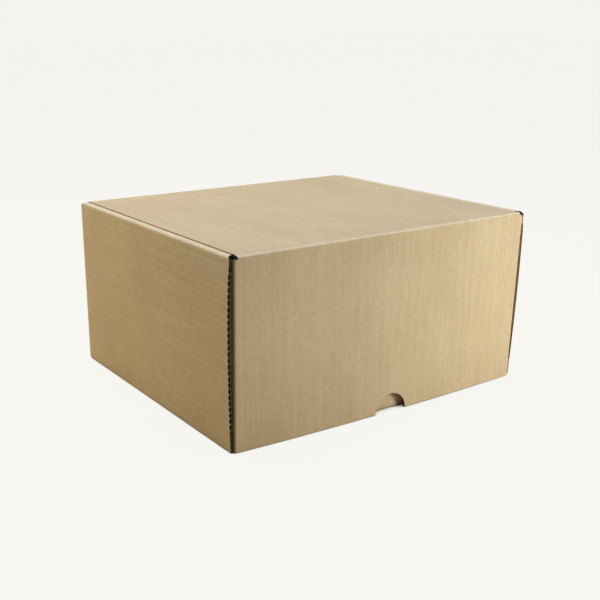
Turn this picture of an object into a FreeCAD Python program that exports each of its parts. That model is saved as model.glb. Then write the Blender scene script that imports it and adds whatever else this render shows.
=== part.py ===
"""A folded mailer box of fluted kraft board, standing closed, with its front flap outside the front wall.

One die-cut sheet is folded into base, front and rear wall, roll-over double side walls, lid and front
flap. The lid swings only once the flap is out, so the sheet is two solids: box_body and front_flap,
which meet at the crease along the lid's front edge.

Frame: millimetres, +Z up, +X to the right, the front flap faces -Y. The origin is on the ground under
the middle of the part's bounding box.
"""
import FreeCAD, Part

import math
import os
import re

import Sketcher

doc = FreeCAD.newDocument("MailerBox")
Vector = FreeCAD.Vector
Rotation = FreeCAD.Rotation
Placement = FreeCAD.Placement

# Driving dimensions of the box, in millimetres
DRIVING = [
    ("box_width", 209.0, "outside width, crease to crease across the side walls"),
    ("box_depth", 176.7, "outside depth, flap face to rear wall face"),
    ("box_height", 104.4, "outside height, ground to lid face"),
    ("board", 1.5, "thickness of the fluted board"),
    ("inner_bend", 0.1, "radius inside a crease"),
    ("liner", 0.25, "thickness of each outer paper of the board"),
    ("flute_pitch", 3.32, "distance from one flute of the board to the next"),
    ("flute_rise", 0.7, "height of a flute's hollow between the papers"),
    ("flute_depth", 3.0, "how deep the hollows are opened from a cut edge"),
    ("ply_gap", 0.12, "clearance between plies that lie on each other"),
    ("ear_gap", 0.25, "clearance between a lock ear and the side panel outside it"),
    ("strip_width", 4.9, "roll-over strip along the top of a side wall"),
    ("seam_gap", 0.3, "gap between the lid's edge and the strip"),
    ("panel_setback", 1.35, "side panel's front edge behind the flap's face"),
    ("rear_setback", 0.7, "side panel's rear edge before the rear wall's face"),
    ("flap_bow", 2.6, "outward bow of the flap's bottom edge at its middle"),
    ("side_bulge", 1.25, "outward bulge of a side panel's front edge at mid height"),
    ("bulge_shoulder", 8.0, "height below the strip over which the bulge builds up"),
    ("bulge_at_shoulder", 0.85, "bulge at that shoulder"),
    ("flap_foot", 0.3, "flap's bottom edge above the ground"),
    ("shoulder_drop", 1.55, "flap's shoulders below the lid face"),
    ("crease_overhang", 0.7, "front crease beyond the lid's edge, each side"),
    ("knuckle_gap", 0.1, "clearance round the crease on which the flap turns"),
    ("notch_radius", 11.2, "thumb notch in the flap's bottom edge"),
    ("notch_offset", 1.85, "notch's middle to the right of the flap's middle"),
    ("ear_length", 22.0, "lock ear, from the flap's inner face"),
    ("ear_foot", 4.0, "ear's lower edge above the ground, at its fold"),
    ("ear_head", 9.0, "ear's upper edge below the lid face, at its fold"),
    ("ear_taper", 9.0, "how far the ear's edges draw in towards its tip"),
    ("ear_round", 9.0, "radius of the ear's tip corners"),
    ("tuck_length", 46.0, "end flap tucked inside a side wall"),
    ("tuck_foot", 3.5, "end flap's lower edge above the ground"),
    ("tuck_head", 20.5, "end flap's upper edge below the lid face"),
    ("tuck_taper", 6.0, "how far an end flap's edges draw in towards its tip"),
    ("tuck_round", 6.0, "radius of an end flap's tip corners"),
    ("wall_head", 1.75, "front wall's upper edge below the lid face"),
    ("panel_crank", 1.6, "how far the inner panel steps in below the strip"),
    ("crank_top", 5.4, "start of that step below the lid face"),
    ("crank_bottom", 19.4, "end of that step below the lid face"),
    ("inner_setback", 2.0, "inner panel's ends before the front and rear walls"),
    ("tab_width", 30.0, "lock tab at the foot of an inner panel"),
    ("tab_spacing", 92.0, "distance between a panel's two lock tabs"),
    ("tab_end_gap", 0.5, "clearance at each end of a lock tab in its slot"),
    ("tab_lift", 0.15, "lock tab's end above the ground"),
]

# Sizes and places worked out from the driving dimensions
DERIVED = [
    ("bend", "board + inner_bend"),
    ("stub", "2 * bend"),
    ("rear_face", "(box_depth + flap_bow) / 2"),
    ("front_face", "rear_face - box_depth"),
    ("flap_back", "front_face + board"),
    ("wall_front", "flap_back + ply_gap"),
    ("half_width", "box_width / 2"),
    ("panel_inside", "half_width - board"),
    ("panel_front", "front_face + panel_setback"),
    ("panel_rear", "rear_face - rear_setback"),
    ("panel_length", "panel_rear - panel_front"),
    ("ear_outside", "panel_inside - ear_gap"),
    ("front_tuck_outside", "ear_outside - board - ply_gap"),
    ("rear_tuck_outside", "panel_inside - ply_gap"),
    ("strip_inside", "half_width - strip_width"),
    ("inner_face", "strip_inside - panel_crank"),
    ("lid_half", "strip_inside - seam_gap"),
    ("crease_half", "lid_half + crease_overhang"),
    ("lid_under", "box_height - board"),
    ("crease_level", "box_height - bend"),
    ("hinge_depth", "front_face + bend"),
    ("shoulder_level", "box_height - shoulder_drop"),
    ("inner_foot", "board + ply_gap"),
    ("inner_front", "wall_front + board + inner_setback"),
    ("inner_rear", "rear_face - board - inner_setback"),
]

sheet = doc.addObject("Spreadsheet::Sheet", "Sizes")
for row, (alias, value, meaning) in enumerate(DRIVING, start=1):
    sheet.set(f"A{row}", alias)
    sheet.set(f"B{row}", str(value))
    sheet.set(f"C{row}", meaning)
    sheet.setAlias(f"B{row}", alias)
for row, (alias, formula) in enumerate(DERIVED, start=len(DRIVING) + 2):
    sheet.set(f"A{row}", alias)
    sheet.set(f"B{row}", "=" + formula)
    sheet.setAlias(f"B{row}", alias)
doc.recompute()

ALIASES = [entry[0] for entry in DRIVING + DERIVED]
ALIAS_WORD = re.compile(r"\b(" + "|".join(ALIASES) + r")\b")


def bound(formula):
    """The formula with every size named as the sheet's own cell."""
    return ALIAS_WORD.sub(r"Sizes.\1", formula)


def size(formula):
    """The formula's value now."""
    return float(sheet.evalExpression(bound(formula)))


# A view as the rotation of its sketch plane, and the axis that the sketch is extruded along
VIEWS = {
    "plan": (Rotation(), "z"),
    "front": (Rotation(Vector(1, 0, 0), 90), "y"),
    "side": (Rotation(Vector(1, 1, 1), 120), "x"),
}


def place(item, axis, formula):
    """Binds one coordinate of the item's place to the sheet."""
    item.setExpression(f".Placement.Base.{axis}", bound(formula))


def constrain(sketch, *values, formula=None):
    """Adds one constraint, bound to a formula of the sheet where it has one."""
    if formula is not None:
        values = (*values, size(formula))
    index = sketch.addConstraint(Sketcher.Constraint(*values))
    if formula is not None:
        sketch.setExpression(f"Constraints[{index}]", bound(formula))


def fix_point(sketch, geometry, end, corner):
    """Binds a sketch point to the two formulas of its corner."""
    constrain(sketch, "DistanceX", -1, 1, geometry, end, formula=corner[0])
    constrain(sketch, "DistanceY", -1, 1, geometry, end, formula=corner[1])


def round_corner(sketch, before, after, point, arrive, leave, corner):
    """Joins two sides by a tangent arc and binds its radius and the corner that it rounds."""
    towards = (arrive - point).normalize() + (leave - point).normalize()
    half_turn = (arrive - point).getAngle(leave - point) / 2
    radius = size(corner[2])
    middle = point + towards.normalize() * (radius / math.sin(half_turn) - radius)
    arc = sketch.addGeometry(Part.Arc(arrive, middle, leave))
    turns_left = (point - arrive).cross(leave - point).z > 0
    first, last = (1, 2) if turns_left else (2, 1)
    mark = sketch.addGeometry(Part.Point(point), True)
    constrain(sketch, "Tangent", before, 2, arc, first)
    constrain(sketch, "Tangent", arc, last, after, 1)
    constrain(sketch, "Radius", arc, formula=corner[2])
    constrain(sketch, "PointOnObject", mark, 1, before)
    constrain(sketch, "PointOnObject", mark, 1, after)
    fix_point(sketch, mark, 1, corner)


def outline(name, view, offset, corners):
    """A closed sketch through corners given as formulas, (u, v) or (u, v, radius)."""
    rotation, axis = VIEWS[view]
    sketch = doc.addObject("Sketcher::SketchObject", name)
    sketch.Placement = Placement(Vector(), rotation)
    place(sketch, axis, offset)
    points = [Vector(size(corner[0]), size(corner[1]), 0) for corner in corners]
    arrive = []
    leave = []
    for i, corner in enumerate(corners):
        back = (points[i - 1] - points[i]).normalize()
        ahead = (points[(i + 1) % len(points)] - points[i]).normalize()
        reach = size(corner[2]) / math.tan(back.getAngle(ahead) / 2) if len(corner) > 2 else 0.0
        arrive.append(points[i] + back * reach)
        leave.append(points[i] + ahead * reach)
    sides = []
    for i in range(len(corners)):
        line = Part.LineSegment(leave[i], arrive[(i + 1) % len(corners)])
        sides.append(sketch.addGeometry(line))
    for i, corner in enumerate(corners):
        if len(corner) > 2:
            round_corner(sketch, sides[i - 1], sides[i], points[i], arrive[i], leave[i], corner)
        else:
            constrain(sketch, "Coincident", sides[i - 1], 2, sides[i], 1)
            fix_point(sketch, sides[i], 1, corner)
    return sketch


def extrusion(name, sketch, length):
    """The sketch's outline drawn out along its view's axis."""
    item = doc.addObject("Part::Extrusion", name)
    item.Base = sketch
    item.DirMode = "Custom"
    item.Dir = sketch.Placement.Rotation.multVec(Vector(0, 0, 1))
    item.Solid = True
    item.setExpression("LengthFwd", bound(length))
    return item


def spread(name, view, half_length, corners):
    """An outline drawn out to both sides of the middle plane."""
    sketch = outline(name + "_outline", view, "0", corners)
    item = doc.addObject("Part::Extrusion", name)
    item.Base = sketch
    item.DirMode = "Custom"
    item.Dir = sketch.Placement.Rotation.multVec(Vector(0, 0, 1))
    item.Symmetric = True
    item.Solid = True
    item.setExpression("LengthFwd", bound(f"2 * ({half_length})"))
    return item


def block(name, low, high):
    """A box between two corners given as formulas."""
    item = doc.addObject("Part::Box", name)
    for axis, side, start, end in zip("xyz", ("Length", "Width", "Height"), low, high):
        place(item, axis, start)
        item.setExpression(side, bound(f"({end}) - ({start})"))
    return item


def joined(name, pieces):
    """The pieces fused into one."""
    item = doc.addObject("Part::MultiFuse", name)
    item.Shapes = pieces
    item.Refine = True
    return item


def less(name, base, tool):
    """The base with the tool's shape taken away."""
    item = doc.addObject("Part::Cut", name)
    item.Base = base
    item.Tool = tool
    return item


def shared(name, first, second):
    """What the two shapes have in common."""
    item = doc.addObject("Part::MultiCommon", name)
    item.Shapes = [first, second]
    return item


def mirrored(name, source):
    """The source's mirror image across the middle plane."""
    item = doc.addObject("Part::Mirroring", name)
    item.Source = source
    item.Normal = Vector(1, 0, 0)
    return item


def ruled_board(name, first, second):
    """A board between two closed outlines, straight from one to the other."""
    item = doc.addObject("Part::Feature", name)
    item.Shape = Part.makeLoft([first, second], True, True)
    item.Placement = Placement()
    return item


# The base with its creases up to the side walls
base_sheet = extrusion(
    "base_sheet",
    outline("base_outline", "front", "panel_rear", [
        ("-half_width", "stub"),
        ("-half_width", "0", "bend"),
        ("half_width", "0", "bend"),
        ("half_width", "stub"),
        ("panel_inside", "stub"),
        ("panel_inside", "board", "inner_bend"),
        ("-panel_inside", "board", "inner_bend"),
        ("-panel_inside", "stub"),
    ]),
    "panel_length",
)
front_corner_cut = block(
    "front_corner_cut",
    ("-panel_inside", "panel_front - bend", "-board"),
    ("panel_inside", "wall_front + bend", "stub + board"),
)
rear_corner_cut = block(
    "rear_corner_cut",
    ("-panel_inside", "rear_face - bend", "-board"),
    ("panel_inside", "rear_face + bend", "stub + board"),
)
slot_half = "tab_width / 2 + tab_end_gap"
tab_slots = []
for side in (-1, 1):
    for end in (-1, 1):
        middle = f"({end} * tab_spacing / 2)"
        edges = ("inner_face - ply_gap", "inner_face + board + ply_gap")
        low_x, high_x = edges if side > 0 else [f"-({edge})" for edge in reversed(edges)]
        tab_slots.append(block(
            f"tab_slot_{len(tab_slots) + 1}",
            (low_x, f"{middle} - ({slot_half})", "-board"),
            (high_x, f"{middle} + {slot_half}", "2 * board"),
        ))
base_cuts = joined("base_cuts", [front_corner_cut, rear_corner_cut, *tab_slots])
base = less("base", base_sheet, base_cuts)

# The front wall, which the flap covers, and its crease to the base
front_wall = spread("front_wall", "side", "front_tuck_outside - bend", [
    ("wall_front", "box_height - wall_head"),
    ("wall_front", "0", "bend"),
    ("wall_front + stub", "0"),
    ("wall_front + stub", "board"),
    ("wall_front + board", "board", "inner_bend"),
    ("wall_front + board", "box_height - wall_head"),
])

# The rear wall up to the lid's crease
rear_wall = spread("rear_wall", "side", "rear_tuck_outside - bend", [
    ("rear_face", "crease_level"),
    ("rear_face - board", "crease_level"),
    ("rear_face - board", "board", "inner_bend"),
    ("rear_face - stub", "board"),
    ("rear_face - stub", "0"),
    ("rear_face", "0", "bend"),
])

# The lid from the rear wall's crease to its front crease
lid = spread("lid", "side", "lid_half", [
    ("rear_face", "crease_level - bend"),
    ("rear_face", "box_height", "bend"),
    ("hinge_depth", "box_height"),
    ("hinge_depth", "lid_under"),
    ("rear_face - board", "lid_under", "inner_bend"),
    ("rear_face - board", "crease_level - bend"),
])

# The front crease: a round of the board that the flap turns on
crease_turn = 110.0
front_crease = doc.addObject("Part::Cylinder", "front_crease")
front_crease.Placement = Placement(Vector(), Rotation(Vector(0, 1, 0), 90) * Rotation(Vector(0, 0, 1), 180))
front_crease.Angle = crease_turn
front_crease.setExpression("Radius", bound("bend"))
front_crease.setExpression("Height", bound("2 * crease_half"))
place(front_crease, "x", "-crease_half")
place(front_crease, "y", "hinge_depth")
place(front_crease, "z", "crease_level")


def bulged_edge(depth, share):
    """Outline of the left side panel's section at one depth, with a share of the full bulge."""
    low, high = size("stub"), size("box_height - stub")
    knee = high - size("bulge_shoulder")
    bulge, knee_bulge = size("side_bulge") * share, size("bulge_at_shoulder") * share
    edges = []
    for face in (-size("half_width"), -size("panel_inside")):
        foot = Vector(face, depth, low)
        belly = Vector(face - bulge, depth, (low + knee) / 2)
        shoulder = Vector(face - knee_bulge, depth, knee)
        top = Vector(face, depth, high)
        edges.append((foot, belly, shoulder, top))
    (foot_a, belly_a, knee_a, top_a), (foot_b, belly_b, knee_b, top_b) = edges

    def lower(foot, belly, shoulder):
        """The bulged stretch, an arc where it bulges and a line where it doesn't."""
        return Part.Arc(foot, belly, shoulder).toShape() if share else Part.makeLine(foot, shoulder)

    return Part.Wire([
        lower(foot_a, belly_a, knee_a),
        Part.makeLine(knee_a, top_a),
        Part.makeLine(top_a, top_b),
        Part.makeLine(top_b, knee_b),
        lower(foot_b, belly_b, knee_b),
        Part.makeLine(foot_b, foot_a),
    ])


def bulge_at(level, share):
    """How far the side panel stands out at one level, with a share of the full bulge."""
    low, high = size("stub"), size("box_height - stub")
    knee = high - size("bulge_shoulder")
    belly, shoulder = size("side_bulge") * share, size("bulge_at_shoulder") * share
    if level > knee:
        return shoulder * (high - level) / (high - knee)
    run = (level - low) / (knee - low)
    return run * (4 * belly - shoulder + 2 * run * (shoulder - 2 * belly))


def flute_hollows(name, depth, inward, share):
    """The hollows between the fluting and its papers, where the left side panel's edge is cut across them."""
    pitch, rise = size("flute_pitch"), size("flute_rise")
    low, high = size("stub + board"), size("box_height - stub - board")
    reach = Vector(0, inward * size("flute_depth"), 0)
    outer, inner = -size("half_width - liner"), -size("panel_inside + liner")
    hollows = []
    for number in range(int(2 * (high - low) / pitch)):
        level = low + (number + 0.5) * pitch / 2
        face, step = (outer, rise) if number % 2 else (inner, -rise)
        x = face - bulge_at(level, share)
        corners = [
            Vector(x, depth, level - 0.4 * pitch),
            Vector(x + step, depth, level - 0.12 * pitch),
            Vector(x + step, depth, level + 0.12 * pitch),
            Vector(x, depth, level + 0.4 * pitch),
        ]
        mouth = Part.Face(Part.makePolygon(corners + corners[:1]))
        hollows.append(mouth.extrude(reach))
    item = doc.addObject("Part::Feature", name)
    item.Shape = Part.makeCompound(hollows)
    return item


# The outer side panel, straight along its flutes and bulged at its front edge by the ear behind it
whole_panel = ruled_board(
    "whole_panel",
    bulged_edge(size("panel_front"), 1.0),
    bulged_edge(size("panel_rear"), 0.0),
)
front_hollows = flute_hollows("front_hollows", size("panel_front"), 1, 1.0)
rear_hollows = flute_hollows("rear_hollows", size("panel_rear"), -1, 0.0)
side_panel = less("side_panel", less("open_front_panel", whole_panel, front_hollows), rear_hollows)

# The roll-over strip and the inner panel that hangs from it, cranked to clear the end flaps
roll_over_sheet = extrusion(
    "roll_over_sheet",
    outline("roll_over_outline", "front", "panel_rear", [
        ("-half_width", "box_height - stub"),
        ("-panel_inside", "box_height - stub"),
        ("-panel_inside", "lid_under", "inner_bend"),
        ("-(strip_inside + board)", "lid_under", "inner_bend"),
        ("-(strip_inside + board)", "box_height - crank_top"),
        ("-(inner_face + board)", "box_height - crank_bottom"),
        ("-(inner_face + board)", "inner_foot"),
        ("-inner_face", "inner_foot"),
        ("-inner_face", "box_height - crank_bottom"),
        ("-strip_inside", "box_height - crank_top"),
        ("-strip_inside", "box_height", "bend"),
        ("-half_width", "box_height", "bend"),
    ]),
    "panel_length",
)
# What the roll-over keeps, seen from above: the strip's ends run back to the inner panel's ends
roll_over_keep = extrusion(
    "roll_over_keep",
    outline("roll_over_plan", "plan", "-board", [
        ("-(half_width + board)", "panel_front"),
        ("-panel_inside", "panel_front"),
        ("-(strip_inside + board)", "inner_front"),
        ("-(inner_face - board)", "inner_front"),
        ("-(inner_face - board)", "inner_rear"),
        ("-(strip_inside + board)", "inner_rear"),
        ("-panel_inside", "panel_rear"),
        ("-(half_width + board)", "panel_rear"),
    ]),
    "box_height + 2 * board",
)
roll_over = shared("roll_over", roll_over_sheet, roll_over_keep)
lock_tabs = []
for end in (-1, 1):
    middle = f"({end} * tab_spacing / 2)"
    lock_tabs.append(block(
        f"lock_tab_{len(lock_tabs) + 1}",
        ("-(inner_face + board)", f"{middle} - tab_width / 2", "tab_lift"),
        ("-inner_face", f"{middle} + tab_width / 2", "2 * inner_foot"),
    ))


def corner_flap(name, outside, wall_face, inward, length, foot, head, taper, radius):
    """A flap folded round a wall's left end: an L in plan, trimmed to its outline seen from the side.

    inward is the sign of the direction that it is tucked in. foot and head each give two levels, the
    fold's and then the tucked part's at its root.
    """
    step = "" if inward > 0 else "-"
    inner = f"{wall_face} + {step}board"
    fold_end = f"{wall_face} + {step}bend"
    tip = f"{wall_face} + {step}({length})"
    section = extrusion(
        name + "_section",
        outline(name + "_plan", "plan", foot[0], [
            (f"-({outside})", wall_face, "bend"),
            (f"-({outside})", tip),
            (f"-({outside} - board)", tip),
            (f"-({outside} - board)", inner, "inner_bend"),
            (f"-({outside} - stub)", inner),
            (f"-({outside} - stub)", wall_face),
        ]),
        f"({head[0]}) - ({foot[0]})",
    )
    ends = [
        (fold_end, foot[1]),
        (tip, f"{foot[1]} + {taper}", radius),
        (tip, f"{head[1]} - {taper}", radius),
        (fold_end, head[1]),
    ]
    beyond = f"{wall_face} - {step}bend"
    ends += [(fold_end, head[0]), (beyond, head[0]), (beyond, foot[0]), (fold_end, foot[0])]
    trim = extrusion(name + "_trim", outline(name + "_side", "side", f"-({outside} + bend)", ends), "2 * stub")
    return shared(name, section, trim)


front_tuck = corner_flap(
    "front_tuck", "front_tuck_outside", "wall_front", 1, "tuck_length", ("inner_foot", "tuck_foot"),
    ("box_height - wall_head", "box_height - tuck_head"), "tuck_taper", "tuck_round")
rear_tuck = corner_flap(
    "rear_tuck", "rear_tuck_outside", "rear_face", -1, "tuck_length", ("inner_foot", "tuck_foot"),
    ("crease_level", "box_height - tuck_head"), "tuck_taper", "tuck_round")

left_side = joined("left_side", [side_panel, roll_over, *lock_tabs])
right_side = mirrored("right_side", left_side)
front_tuck_right = mirrored("front_tuck_right", front_tuck)
rear_tuck_right = mirrored("rear_tuck_right", rear_tuck)
box_body = joined("box_body", [
    base, front_wall, rear_wall, lid, front_crease, left_side, right_side,
    front_tuck, front_tuck_right, rear_tuck, rear_tuck_right,
])

# The front flap: its panel bows out at the foot, straight up along its flutes
def flap_section(level, bow):
    """Plan outline of the flap's panel at one level."""
    reach = size("ear_outside - bend")
    faces = []
    for face in (size("front_face"), size("flap_back")):
        left, middle, right = (Vector(-reach, face, level), Vector(0, face - bow, level),
                               Vector(reach, face, level))
        faces.append((left, right, Part.Arc(left, middle, right).toShape() if bow
                      else Part.makeLine(left, right)))
    (left_a, right_a, front), (left_b, right_b, back) = faces
    return Part.Wire([front, Part.makeLine(right_a, right_b), back, Part.makeLine(left_b, left_a)])


flap_panel = ruled_board(
    "flap_panel",
    flap_section(size("flap_foot"), size("flap_bow")),
    flap_section(size("shoulder_level"), 0.0),
)
lock_ear = corner_flap(
    "lock_ear", "ear_outside", "front_face", 1, "ear_length + board", ("flap_foot", "ear_foot"),
    ("shoulder_level", "box_height - ear_head"), "ear_taper", "ear_round")
lock_ear_right = mirrored("lock_ear_right", lock_ear)

thumb_notch = doc.addObject("Part::Cylinder", "thumb_notch")
thumb_notch.Placement = Placement(Vector(), Rotation(Vector(1, 0, 0), 90))
thumb_notch.setExpression("Radius", bound("notch_radius"))
thumb_notch.setExpression("Height", bound("2 * stub + flap_bow"))
place(thumb_notch, "x", "notch_offset")
place(thumb_notch, "y", "wall_front + bend")
crease_room = doc.addObject("Part::Cylinder", "crease_room")
crease_room.Placement = Placement(Vector(), Rotation(Vector(0, 1, 0), 90))
crease_room.setExpression("Radius", bound("bend + knuckle_gap"))
crease_room.setExpression("Height", bound("2 * (crease_half + knuckle_gap)"))
place(crease_room, "x", "-(crease_half + knuckle_gap)")
place(crease_room, "y", "hinge_depth")
place(crease_room, "z", "crease_level")
flap_sheet = joined("flap_sheet", [flap_panel, lock_ear, lock_ear_right])
flap_cuts = joined("flap_cuts", [thumb_notch, crease_room])
front_flap = less("front_flap", flap_sheet, flap_cuts)

SUB_PARTS = [box_body, front_flap]
for part in SUB_PARTS:
    part.Label = part.Name

doc.recompute()
for item in doc.Objects:
    if "Invalid" in item.State or "Error" in item.State:
        raise RuntimeError(f"{item.Name} failed: {item.State}")
for part in SUB_PARTS:
    if part.Shape.isNull() or not part.Shape.isValid() or len(part.Shape.Solids) != 1:
        raise RuntimeError(f"{part.Name} is not one valid solid")

os.makedirs("parts", exist_ok=True)
for part in SUB_PARTS:
    part.Shape.exportStep(f"parts/{part.Label}.step")
    box = part.Shape.BoundBox
    print(part.Label, round(part.Shape.Volume), "mm3,", len(part.Shape.Faces), "faces,",
          [round(value, 2) for value in (box.XMin, box.XMax, box.YMin, box.YMax, box.ZMin, box.ZMax)])
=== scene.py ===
# %% [markdown]
# # A folded mailer box of corrugated board
# The box is one die-cut sheet of brown board. Creases turn the sheet into a base, four walls and a lid,
# and the lid carries a front flap that hangs over the front wall. The sheet is thin and even everywhere,
# so every piece here starts as a bare surface in the middle of the board, is carried round its creases as
# the real sheet is folded, and is given its thickness at the end.

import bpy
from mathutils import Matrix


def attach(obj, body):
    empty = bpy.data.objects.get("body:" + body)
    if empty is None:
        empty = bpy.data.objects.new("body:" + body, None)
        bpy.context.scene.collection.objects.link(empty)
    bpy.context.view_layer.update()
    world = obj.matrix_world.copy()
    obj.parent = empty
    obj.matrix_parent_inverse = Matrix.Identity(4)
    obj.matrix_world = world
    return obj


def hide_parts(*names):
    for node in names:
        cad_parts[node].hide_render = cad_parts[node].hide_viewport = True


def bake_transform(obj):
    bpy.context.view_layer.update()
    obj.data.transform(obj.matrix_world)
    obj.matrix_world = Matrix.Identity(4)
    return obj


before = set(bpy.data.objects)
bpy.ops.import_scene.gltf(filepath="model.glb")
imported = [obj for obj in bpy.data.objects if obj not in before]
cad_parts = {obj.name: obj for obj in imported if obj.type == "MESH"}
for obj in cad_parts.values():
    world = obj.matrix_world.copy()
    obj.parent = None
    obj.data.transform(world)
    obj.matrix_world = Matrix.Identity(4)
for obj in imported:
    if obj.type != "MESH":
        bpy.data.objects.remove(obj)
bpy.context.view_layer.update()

# %% Tools and units
import math

import bmesh
import bpy
from mathutils import Matrix, Vector

MM = 0.001
WELD = 0.01 * MM


def mm(x, y, z):
    """A place or a step given in millimetres."""
    return Vector((x, y, z)) * MM


print("one unit is a metre, and", MM, "of it is a millimetre")

# %% [markdown]
# ## Choosing by place
# By hand, edges are picked with the mouse. A script picks them by where they are: each of these helpers
# looks at the corners of the sheet in edit mode and keeps the parts whose corners all pass a test.

# %% Pick parts of the sheet
SELECT_MODES = {"VERT": (True, False, False), "EDGE": (False, True, False), "FACE": (False, False, True)}


def near(value, target, slack=0.03):
    """True where two lengths in millimetres are the same place."""
    return abs(value - target) < slack


SLACK = 0.02


def between(value, low, high):
    """True where a length in millimetres lies between two others, or on one of them."""
    return low - SLACK < value < high + SLACK


def choose(kind, test):
    """Select the corners, edges or faces whose corners all pass the test, which is given millimetres."""
    bpy.context.tool_settings.mesh_select_mode = SELECT_MODES[kind]
    bpy.ops.mesh.select_all(action="DESELECT")
    mesh = bpy.context.edit_object.data
    shape = bmesh.from_edit_mesh(mesh)
    parts = {"VERT": shape.verts, "EDGE": shape.edges, "FACE": shape.faces}[kind]
    found = 0
    for part in parts:
        corners = [part] if kind == "VERT" else part.verts
        if all(test(*(corner.co / MM)) for corner in corners):
            part.select_set(True)
            found += 1
    bmesh.update_edit_mesh(mesh)
    return found


def shift(test, step):
    """Move the corners that pass the test by a step in millimetres."""
    choose("VERT", test)
    bpy.ops.transform.translate(value=mm(*step))


def score(place, normal):
    """Score a line across the whole sheet, so that its edges can be picked in parts."""
    choose("FACE", lambda x, y, z: True)
    bpy.ops.mesh.bisect(plane_co=mm(*place), plane_no=normal)


print("edges are picked by their place in mm")

# %% [markdown]
# ## Folding
# Board is folded round a crease, and its middle surface turns on a small radius: here the outside of a
# fold has a radius of 1.6 mm and the inside one of 0.1 mm. Extrude makes a flat stretch from the chosen
# edges and Spin turns them round a crease, so a whole wall is a chain of the two.

# %% Fold and run
BOARD = 1.5
BEND = 1.6
TURN = BEND - BOARD / 2
FOLD_STEPS = 6


def fold(centre, axis, degrees):
    """Carry the chosen edges round a crease, by the right-hand rule."""
    bpy.ops.mesh.spin(steps=FOLD_STEPS, angle=-math.radians(degrees), center=mm(*centre), axis=axis)


def run(*steps):
    """Carry the chosen edges straight on, by each step in turn."""
    for step in steps:
        bpy.ops.mesh.extrude_region_move(TRANSFORM_OT_translate={"value": mm(*step)})


def parts_of(step, count, first, last):
    """A long step cut into a short first one, equal middle ones and a short last one."""
    way = Vector(step)
    middle = way.normalized() * (way.length - first - last) / count
    return [way.normalized() * first] + [middle] * count + [way.normalized() * last]


print("folds turn on", round(TURN, 2), "mm in", FOLD_STEPS, "steps")

# %% [markdown]
# ## The base
# The base is the middle of the sheet, and every wall grows from its edges. It could be six separate
# plates, but then each fold would be a seam. It starts as one plane instead, scored where the walls' edges
# meet it, and four slots are opened for the tabs that lock the inner walls. Lengths are in millimetres
# from the middle of the box.

# %% Where the creases and the tabs are
HEIGHT = 104.4
HALF_WIDTH = 104.5
SIDE_CREASE = HALF_WIDTH - BEND
FRONT_CREASE = -83.83
REAR_CREASE = 88.05
FRONT_WALL_HALF = 99.53
REAR_WALL_HALF = 101.28
LID_HALF = 99.3
SIDE_FRONT = -85.7
SIDE_REAR = 88.95
CREASE_MARGIN = 2.0
SLOT_SIDES = (97.8, 99.7)
TAB_CENTRE = 46.0
TAB_HALF = 15.0
SLOT_HALF = 15.5
print("the box is", 2 * HALF_WIDTH, "mm wide and", HEIGHT, "mm high")


# %% The base plate
def start_sheet(name, low, high, level):
    """A new plane between two corners, in edit mode, with its object at the origin."""
    bpy.ops.object.select_all(action="DESELECT")
    bpy.ops.mesh.primitive_plane_add(size=1)
    sheet = bpy.context.object
    sheet.name = name
    bpy.ops.object.mode_set(mode="EDIT")
    bpy.ops.transform.resize(value=((high[0] - low[0]) * MM, (high[1] - low[1]) * MM, 1))
    bpy.ops.transform.translate(value=mm((low[0] + high[0]) / 2, (low[1] + high[1]) / 2, level))
    return sheet


box_sheet = start_sheet("box_sheet", (-SIDE_CREASE, FRONT_CREASE), (SIDE_CREASE, REAR_CREASE), BOARD / 2)
print("the base is", 2 * SIDE_CREASE, "by", round(REAR_CREASE - FRONT_CREASE, 2), "mm between its creases")

# %% Score the base
for line in sorted([LID_HALF - CREASE_MARGIN, *SLOT_SIDES, LID_HALF, FRONT_WALL_HALF, REAR_WALL_HALF]):
    for side in (-1, 1):
        score((side * line, 0, 0), (1, 0, 0))
for line in (TAB_CENTRE - SLOT_HALF, TAB_CENTRE - TAB_HALF, TAB_CENTRE + TAB_HALF, TAB_CENTRE + SLOT_HALF):
    for end in (-1, 1):
        score((0, end * line, 0), (0, 1, 0))
score((0, FRONT_CREASE + CREASE_MARGIN, 0), (0, 1, 0))
score((0, REAR_CREASE - CREASE_MARGIN, 0), (0, 1, 0))
print("scored into", choose("FACE", lambda x, y, z: True), "faces")

# %% Open the slots and lengthen the corners
slot_faces = 0
for end in (-1, 1):
    slot_faces += choose("FACE", lambda x, y, z: between(abs(x), *SLOT_SIDES)
                         and between(end * y, TAB_CENTRE - SLOT_HALF, TAB_CENTRE + SLOT_HALF))
    bpy.ops.mesh.delete(type="FACE")
choose("EDGE", lambda x, y, z: near(y, FRONT_CREASE) and between(abs(x), FRONT_WALL_HALF, HALF_WIDTH))
run((0, SIDE_FRONT - FRONT_CREASE, 0))
choose("EDGE", lambda x, y, z: near(y, REAR_CREASE) and between(abs(x), REAR_WALL_HALF, HALF_WIDTH))
run((0, SIDE_REAR - REAR_CREASE, 0))
print(slot_faces, "faces taken out for four slots")

# %% [markdown]
# ## Front and rear walls
# Both walls stand on the base, and their ends turn back along the sides as tucks that the inner walls
# hold. They grow from the base's edges and aren't set on it as plates, which keeps the sheet in one piece
# with true folds. The rear wall goes on over the top as the lid, which is slightly narrower so that its
# edges can drop between the side walls.

# %% The two walls
FRONT_WALL_TOP = 102.65
FOLD_LEVEL = HEIGHT - BEND
TUCK_FOOT = 3.5
TUCK_HEAD = 83.9

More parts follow.
